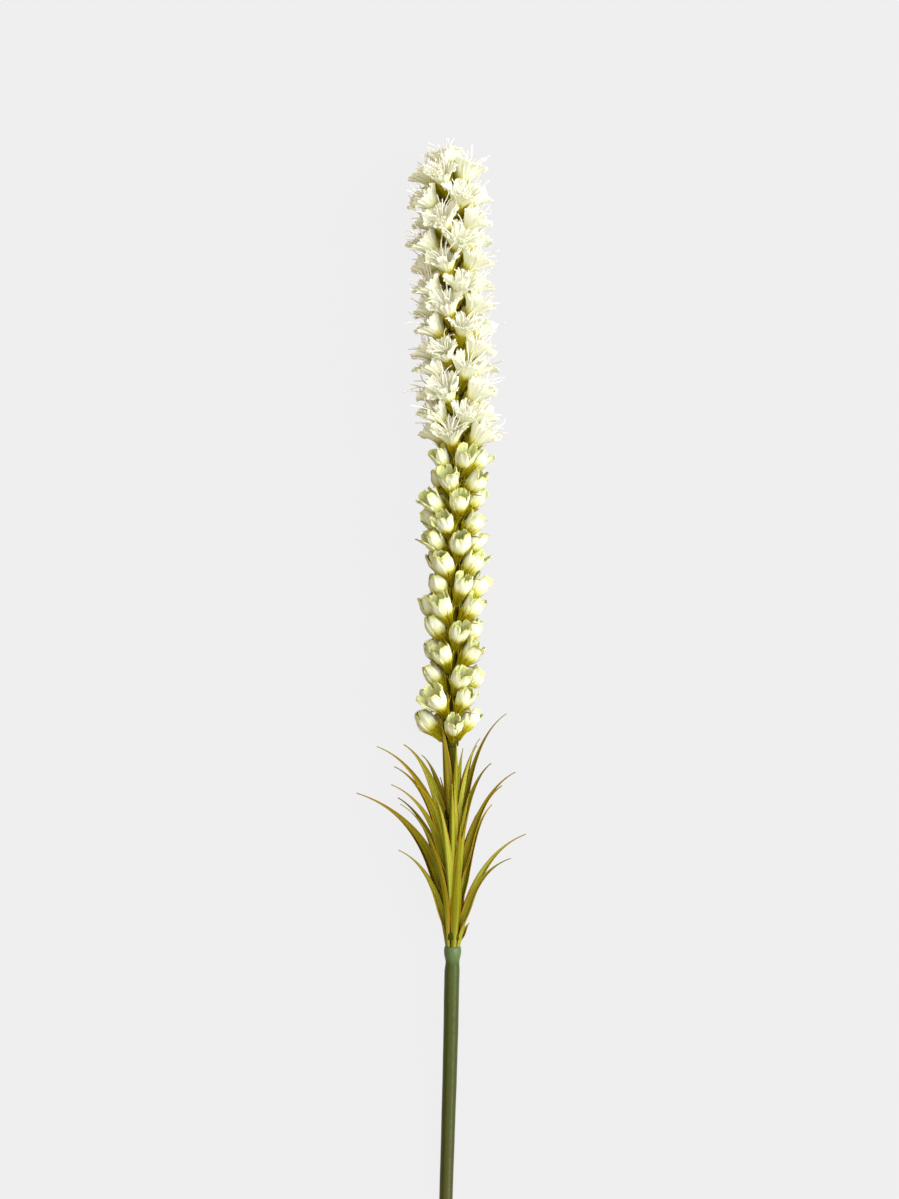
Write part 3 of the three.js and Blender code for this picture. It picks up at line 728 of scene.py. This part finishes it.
petals = [
    {"turn": 0, "half": 28, "reach": 7.4}, {"turn": 76, "half": 38, "reach": 9.3},
    {"turn": 142, "half": 46, "reach": 9.9}, {"turn": -142, "half": 46, "reach": 9.9},
    {"turn": -76, "half": 38, "reach": 9.3}, {"turn": 184, "half": 34, "reach": 6.4},
]
openPetal = {
    "rows": 12, "columns": 31, "foot": (2.0, 8.2), "bend": (4.3, 15.4), "height": 21.3, "heightWander": 1.3,
    "reachWander": 0.07, "footHalf": 1.5, "wider": 0.9, "widePower": 0.9, "round": 0.13,
    "tooth": 0.57, "notch": 2.1, "lobe": 5, "toothSpan": 14.0, "rowGap": 0.015,
    "cup": 0.7, "ruffle": 0.95, "waves": 2.2, "fineWaves": 5.1, "wavePower": 2.2, "pleat": 0.03, "curl": 1.7,
    "layer": 0.5, "thickness": 0.28, "edgeThinner": 0.35, "streakTurn": 19,
}
floretTube = {
    "sides": 18, "top": 10.0, "sunk": 0.4, "ridges": 0.05, "shades": (0.25, 0.85),
    "profile": [(0.0, 1.4), (0.3, 1.7), (0.65, 2.2), (0.9, 2.9), (1.0, 3.25), (0.98, 2.7), (0.8, 1.0)],
    "needles": 24, "needleSpan": (3.6, 13.4),
    "skin": ([0, 3, 6.5, 9, 10, 12.5, 15], [1.4, 1.7, 2.2, 2.9, 3.3, 4.0, 5.1]),
}
thread = {
    "count": 9, "radius": 0.35, "tipRadius": 0.22, "sides": 5, "steps": 14, "turnWander": 0.35,
    "turns": [120, 300, 200, 30, 240, 165, 75, 215, 345], "from": 0.5, "height": 8.0, "reach": 22.5,
    "leastReach": 0.72, "moreReach": 0.36, "sag": 0.12, "spread": 9.6, "leastSpread": 0.35, "moreSpread": 0.9,
    "spreadPower": 2.2, "wave": 0.7, "sway": 1.0, "curl": 0.25, "curls": 7.5,
}


def pinking(columns, seed):  # how far each column of a petal's edge is cut back, in millimetres
    cut = np.array([openPetal["tooth"] * chance(seed + 31 * k) for k in range(columns)])
    lobe = openPetal["lobe"]
    notches = np.arange(int(lobe * chance(seed + 9)) + 1, columns - 1, lobe)
    for k in notches:
        place = min(k + int(2 * chance(seed + 17 * k)), columns - 2)
        cut[place] += openPetal["notch"] * (0.35 + 0.65 * chance(seed + 23 * k))
    return cut


def addOpenPetal(gathered, place, petal, seed):
    rows, columns = openPetal["rows"], openPetal["columns"]
    u = np.linspace(0, 1, rows)[:, None]
    v = np.linspace(-1, 1, columns)[None, :]
    height = openPetal["height"] + openPetal["heightWander"] * swing(seed)
    reach = petal["reach"] * (1 + openPetal["reachWander"] * swing(seed + 1))
    length = u * (1 - openPetal["round"] * v ** 2)
    length[-1] -= pinking(columns, seed) / openPetal["toothSpan"]
    for row in (-2, -3):
        length[row] = np.minimum(length[row], length[row + 1] - openPetal["rowGap"])
    (footR, footH), (bendR, bendH) = openPetal["foot"], openPetal["bend"]
    a, b, c = (1 - length) ** 2, 2 * length * (1 - length), length ** 2
    radius = a * footR + b * bendR + c * reach
    lift = a * footH + b * bendH + c * height
    slopeR = 2 * (1 - length) * (bendR - footR) + 2 * length * (reach - bendR)
    slopeH = 2 * (1 - length) * (bendH - footH) + 2 * length * (height - bendH)
    slope = np.hypot(slopeR, slopeH)
    edgeHalf = reach * math.sin(math.radians(petal["half"])) + openPetal["wider"]
    halfWidth = lerp(openPetal["footHalf"], edgeHalf, length ** openPetal["widePower"])
    angle = math.radians(petal["turn"]) + v * halfWidth / np.maximum(radius, footR)
    wave = np.sin(openPetal["waves"] * math.pi * v + phase(seed + 2)) * (0.6 + 0.4 * swing(seed + 3))
    wave = wave + 0.5 * np.sin(openPetal["fineWaves"] * math.pi * v + phase(seed + 4))
    pleats = openPetal["pleat"] * np.where(np.arange(columns) % 2, 1, -1)[None, :]
    push = openPetal["cup"] * (0.5 + chance(seed + 5)) * v ** 2 * u
    push = push + openPetal["ruffle"] * wave * u ** openPetal["wavePower"]
    push = push + pleats * smooth(u, 0.1, 0.7) + openPetal["curl"] * swing(seed + 6) * u ** 5
    push = push + openPetal["layer"] * swing(petal["turn"]) * u  # neighbours pass over and under one another
    radius = radius - push * slopeH / slope
    lift = lift + push * slopeR / slope
    grid = keepUnder(floretPoints(place, radius, angle, lift), length ** 2)
    thickness = openPetal["thickness"] * (1 - openPetal["edgeThinner"] * u)
    across = v + petal["turn"] / openPetal["streakTurn"]  # the streaks differ from petal to petal
    addSheet(gathered, grid, thickness, length, across, chance(seed + 8))


def addThreads(gathered, place, seed):
    t = np.linspace(0, 1, thread["steps"])
    radii = lerp(thread["radius"], thread["tipRadius"], t)
    for k in range(thread["count"]):
        turn = math.radians(thread["turns"][k]) + thread["turnWander"] * swing(seed + 50 + k)
        spread = thread["spread"] * (thread["leastSpread"] + thread["moreSpread"] * chance(seed + 60 + k))
        reach = thread["reach"] * (thread["leastReach"] + thread["moreReach"] * chance(seed + 62 + k))
        wave = thread["wave"] * np.sin(2 * math.pi * t + phase(seed + 70 + k)) * t
        radius = lerp(thread["from"], spread, t ** thread["spreadPower"]) + wave
        height = thread["height"] + reach * (t - thread["sag"] * t ** 3)
        bent = turn + thread["sway"] * swing(seed + 80 + k) * t ** 1.5
        bent = bent + thread["curl"] * np.sin(thread["curls"] * t + phase(seed + 90 + k)) * t
        path = keepUnder(floretPoints(place, radius, bent, height), t ** 2)
        addTube(gathered, path, radii, thread["sides"], marks["fine"], t)


def addOpenFloret(gathered, place, seed):
    addCup(gathered, place, floretTube, chance(seed))
    addBristles(gathered, place, floretTube, floretTube["skin"], seed + 400)
    for k, petal in enumerate(petals):
        addOpenPetal(gathered, place, petal, seed + 7 * k)
    addThreads(gathered, place, seed)


# Buds

budPetal = {
    "count": 5, "rows": 13, "columns": 17, "foot": 8.6, "length": 22.4, "uneven": 2.4,
    "closed": 2.2, "open": 6.4, "openBand": (2.0, 5.0),
    "heights": [8.6, 10.4, 12.8, 15.6, 18.6, 22.4], "radii": [3.0, 4.5, 5.6, 5.9],
    "slim": 0.82, "squeeze": 0.42, "overlap": 0.4, "half": 46, "tipHalf": 32, "closedHalf": 44,
    "drop": 3.1, "closedDrop": 2.3, "dropPower": 4.6, "ragged": 1.6, "flare": 3.8, "flareShare": 0.5,
    "lean": 0.4, "pinch": 0.35, "rib": 0.13, "crumple": 0.42, "thickness": 0.4, "edgeThinner": 0.3,
    "rimShade": 0.9, "inside": 0.88, "insideShare": 0.9, "streakShift": 1.7,
}
budCore = {
    "profile": [(6.5, 1.5), (9, 2.6), (12, 2.9), (14.5, 2.1), (15.3, 0.5)], "sides": 12, "shades": (0.3, 0.9),
}
calyx = {
    "sides": 20, "top": 10.6, "sunk": 0.4, "ridges": 0.06, "shades": (0.05, 0.5),
    "profile": [(0.0, 1.4), (0.35, 1.8), (0.6, 2.4), (0.8, 3.2), (0.95, 4.1), (1.0, 4.5), (0.98, 3.8),
                (0.8, 1.6)],
    "needles": 24, "needleSpan": (3.4, 13.6),
    "skin": ([0, 3.7, 6.3, 8.5, 10.2, 12.8, 15.6], [1.4, 1.8, 2.4, 3.2, 4.3, 5.7, 6.0]),
}
bract = {"from": 5.5, "reach": 11, "bend": 0.6, "droop": 1, "radius": 0.48, "sides": 8, "steps": 8}


def addBudPetal(gathered, place, turn, rim, slim, seed):
    rows, columns = budPetal["rows"], budPetal["columns"]
    u = np.linspace(0, 1, rows)[:, None]
    v = np.linspace(-1, 1, columns)[None, :]
    opened = smooth(rim, *budPetal["openBand"])
    drop = lerp(budPetal["closedDrop"], budPetal["drop"], opened)
    tip = budPetal["length"] - budPetal["uneven"] * chance(seed) - drop * np.abs(v) ** budPetal["dropPower"]
    ragged = budPetal["ragged"] * np.array([chance(seed + 13 * k) for k in range(columns)])
    height = lerp(budPetal["foot"], tip, u)
    height[-1] -= ragged * (0.35 + chance(seed + 6) ** 2)
    radii = [*budPetal["radii"], lerp(budPetal["radii"][-1], rim, 0.45), rim]
    radius = np.interp(height, budPetal["heights"], radii) * slim
    for _ in range(2):  # round the bends of the profile off
        radius[1:-1] = 0.25 * radius[:-2] + 0.5 * radius[1:-1] + 0.25 * radius[2:]
    if chance(seed + 1) < budPetal["flareShare"] * opened:  # some petals stand away from the cup
        flare = budPetal["flare"] * (0.25 + 0.75 * chance(seed + 2))
    else:
        flare = budPetal["lean"] * swing(seed + 2) * opened
    radius = radius + flare * smooth(u, 0.4, 1.2) ** 1.4 + budPetal["overlap"] * v
    radius = radius + budPetal["pinch"] * (1 - v ** 2) * smooth(u, 0.1, 0.6)
    creases = np.sin(2.3 * math.pi * v + 5 * u + phase(seed + 4)) * np.sin(7 * u + phase(seed + 5))
    radius = radius + budPetal["crumple"] * creases * smooth(u, 0.2, 0.8)
    radius = radius + budPetal["rib"] * np.where(np.arange(columns) % 2, 1, -1)[None, :] * smooth(u, 0.05, 0.5)
    tipHalf = lerp(budPetal["closedHalf"], budPetal["tipHalf"], opened)
    half = math.radians(1) * lerp(budPetal["half"], tipHalf, smooth(u, 0.35, 1.1))
    angle = turn + half * v + 0.12 * swing(seed + 3) * u
    facing = 0.5 + 0.5 * np.cos(angle + place["spin"])  # the cup is flatter where it faces the axis
    narrow = 1 - budPetal["squeeze"] * facing ** 1.5 * smooth(height, 6.5, 12)
    grid = floretPoints(place, np.maximum(radius, 0.3) * narrow, angle, height)
    thickness = budPetal["thickness"] * (1 - budPetal["edgeThinner"] * u)
    edged = np.abs(v) ** 8 * smooth(u, 0.3, 0.6)  # the sides of a petal have the colour of its rim
    outside = lerp(u, np.maximum(u, budPetal["rimShade"]), edged)
    lit = budPetal["insideShare"] * smooth(u, 0.1, 0.5) * (1 - smooth(u, 0.85, 1))
    inside = np.maximum(lerp(u, budPetal["inside"], lit), outside * edged)
    across = v + budPetal["streakShift"] * turn
    addSheet(gathered, grid, thickness, outside, across, chance(seed + 8), inside)


def addBract(gathered, place, seed):
    start = floretPoints(place, 0, 0, bract["from"])
    t = np.linspace(0, 1, bract["steps"])[:, None]
    tip = start + place["out"] * bract["reach"] - place["along"] * bract["droop"]
    bend = start + place["out"] * bract["bend"] * bract["reach"]
    path = (1 - t) ** 2 * start + 2 * t * (1 - t) * bend + t ** 2 * tip
    radii = bract["radius"] * (1.02 - t[:, 0] ** 1.3)
    addTube(gathered, path, radii, bract["sides"], marks["fine"], t[:, 0], chance(seed))


def addBud(gathered, place, seed):
    rim = lerp(budPetal["closed"], budPetal["open"], chance(seed))
    slim = lerp(budPetal["slim"], 1, chance(seed + 7))
    addCup(gathered, place, calyx, chance(seed + 3))
    heights, radii = calyx["skin"]
    slimmed = [radius * lerp(1, slim, smooth(height, 8, 12)) for height, radius in zip(heights, radii)]
    addBristles(gathered, place, calyx, (heights, slimmed), seed + 400)
    shades = np.linspace(*budCore["shades"], len(budCore["profile"]))
    addRings(gathered, place, budCore["profile"], budCore["sides"], shades, chance(seed + 4), 0.0,
             budPetal["squeeze"])
    for k in range(budPetal["count"]):
        turn = 2 * math.pi * k / budPetal["count"]
        addBudPetal(gathered, place, turn, rim, slim, seed + 50 + 9 * k)


def makeBudWhorl(index):
    foot, firstTurn = whorl["buds"][index]
    seed = 100 + 40 * index
    gathered = Gathered()
    addSleeve(gathered, foot, marks["sleeve"])
    places = whorlPlaces(foot, firstTurn, whorl["budLean"], whorl["budLength"], whorl["budRadius"], seed)
    for k, place in enumerate(places):
        if k % 2 == index % 2:
            addBract(gathered, place, seed + k)
        addBud(gathered, unsettle(place, seed + 20 + k, strays["bud"]), seed + 20 + k)
    label = f"{index + 1:02d}"
    materials = [budPetalCloth, calyxPlastic, bractPlastic, axisPlasticPaintedGapLight]
    makePiece("budWhorl" + label, gathered, materials, "bud_whorl_" + label)


openMaterials = [openPetalCloth, calyxPlastic, threadPlastic, axisPlasticPaintedGapLight]


def makeOpenWhorl(index):
    foot = whorl["openFrom"] + whorl["openPitch"] * index
    seed = 1000 + 40 * index
    firstTurn = whorl["openTurn"] + whorl["openStep"] * index
    gathered = Gathered()
    addSleeve(gathered, foot, marks["sleeve"])
    places = whorlPlaces(foot, firstTurn, whorl["openLean"], whorl["openLength"], whorl["openRadius"], seed)
    for k, place in enumerate(places):
        addOpenFloret(gathered, unsettle(place, seed + 20 + k, strays["open"]), seed + 20 + k)
    label = f"{index + 1:02d}"
    makePiece("floretWhorl" + label, gathered, openMaterials, "floret_whorl_" + label)


def makeCrown():
    seed = crown["seed"]
    gathered = Gathered()
    turns = evenTurns(sleeve["sides"])
    rings = []
    for place, wall in crown["outline"]:
        rings.append(axisRing(place, axisRadius(place) + sleeve["gap"] + wall, turns))
    addLoft(gathered, np.array(rings), marks["sleeve"], sleeve["shade"])
    length, radius = whorl["openLength"], whorl["openRadius"]
    places = whorlPlaces(crown["foot"], crown["turn"], crown["lean"], length, radius, seed)
    tip = standFloret(crown["tip"], 0, 0, length, radius)
    tip["base"] = axisPoint(crown["tip"])
    for k, place in enumerate([*places, tip]):
        addOpenFloret(gathered, unsettle(place, seed + 20 + k, strays["crown"]), seed + 20 + k)
    makePiece("crownFlorets", gathered, openMaterials, "crown")


# Floor, lights and camera

studio = {
    "floorSize": 6, "floorColor": (0.846, 0.838, 0.842, 1), "floorGlow": 1.0, "floorShare": 0.015,
    "sun": 5.1, "sunAngle": 48, "sunHigh": 36, "sunTurn": 8, "sunColor": (0.98, 1.0, 1.0),
    "front": 2.55, "frontAngle": 90, "frontColor": (1.0, 0.97, 0.90),
    "fill": 0.36, "fillColor": (1.0, 0.78, 0.34, 1),
    "distance": 1800, "viewHeight": 374.75, "viewAcross": -0.25, "plane": 17, "viewTall": 599.5, "sensor": 24,
}


def addLight(name, energy, angle, color, tilt, turn):
    light = bpy.data.objects.new(name, bpy.data.lights.new(name, "SUN"))
    light.data.energy = energy
    light.data.angle = math.radians(angle)
    light.data.color = color
    light.rotation_euler = (0, math.radians(tilt), math.radians(turn))
    bpy.context.scene.collection.objects.link(light)


def makeStudio():
    size = studio["floorSize"]
    mesh = bpy.data.meshes.new("paleFloor")
    corners = [(-size, -size, 0), (size, -size, 0), (size, size, 0), (-size, size, 0)]
    mesh.from_pydata(corners, [], [(0, 1, 2, 3)])
    floor = bpy.data.objects.new("paleFloor", mesh)
    bpy.context.scene.collection.objects.link(floor)
    material, tree = newTree("paleFloor")
    paper = newNode(tree, "BsdfDiffuse", {"Color": studio["floorColor"]})
    strength = studio["floorGlow"] / (1 - studio["floorShare"])
    glow = newNode(tree, "Emission", {"Color": studio["floorColor"], "Strength": strength})
    surface = newNode(tree, "MixShader", {0: studio["floorShare"], 1: glow.outputs[0], 2: paper.outputs[0]})
    newNode(tree, "OutputMaterial", {"Surface": surface.outputs[0]})
    mesh.materials.append(material)
    floor.visible_diffuse = floor.visible_transmission = floor.visible_shadow = False  # it throws no light back

    sunTilt = 90 - studio["sunHigh"]
    addLight("keyLight", studio["sun"], studio["sunAngle"], studio["sunColor"], sunTilt, studio["sunTurn"])
    addLight("frontLight", studio["front"], studio["frontAngle"], studio["frontColor"], 0, 0)

    world = bpy.data.worlds.new("softStudio")
    world.use_nodes = True
    world.node_tree.nodes["Background"].inputs["Color"].default_value = studio["fillColor"]
    world.node_tree.nodes["Background"].inputs["Strength"].default_value = studio["fill"]
    bpy.context.scene.world = world

    camera = bpy.data.objects.new("camera", bpy.data.cameras.new("camera"))
    camera.data.sensor_fit = "VERTICAL"
    camera.data.sensor_height = studio["sensor"]
    camera.data.lens = studio["sensor"] * studio["distance"] / studio["viewTall"]
    camera.location = placeInFrame(
        np.array([studio["viewAcross"], studio["viewHeight"], studio["plane"] + studio["distance"]])
    )
    bpy.context.scene.collection.objects.link(camera)
    bpy.context.scene.camera = camera
    bpy.context.scene.view_settings.view_transform = "Standard"


makeStudio()
makeStem()
makeRod()
print("stem and axis ready")
for index in range(len(tufts)):
    makeTuft(index)
print("leaves ready")
for index in range(len(whorl["buds"])):
    makeBudWhorl(index)
print("buds ready")
for index in range(whorl["openCount"]):
    makeOpenWhorl(index)
makeCrown()
print("open florets ready")
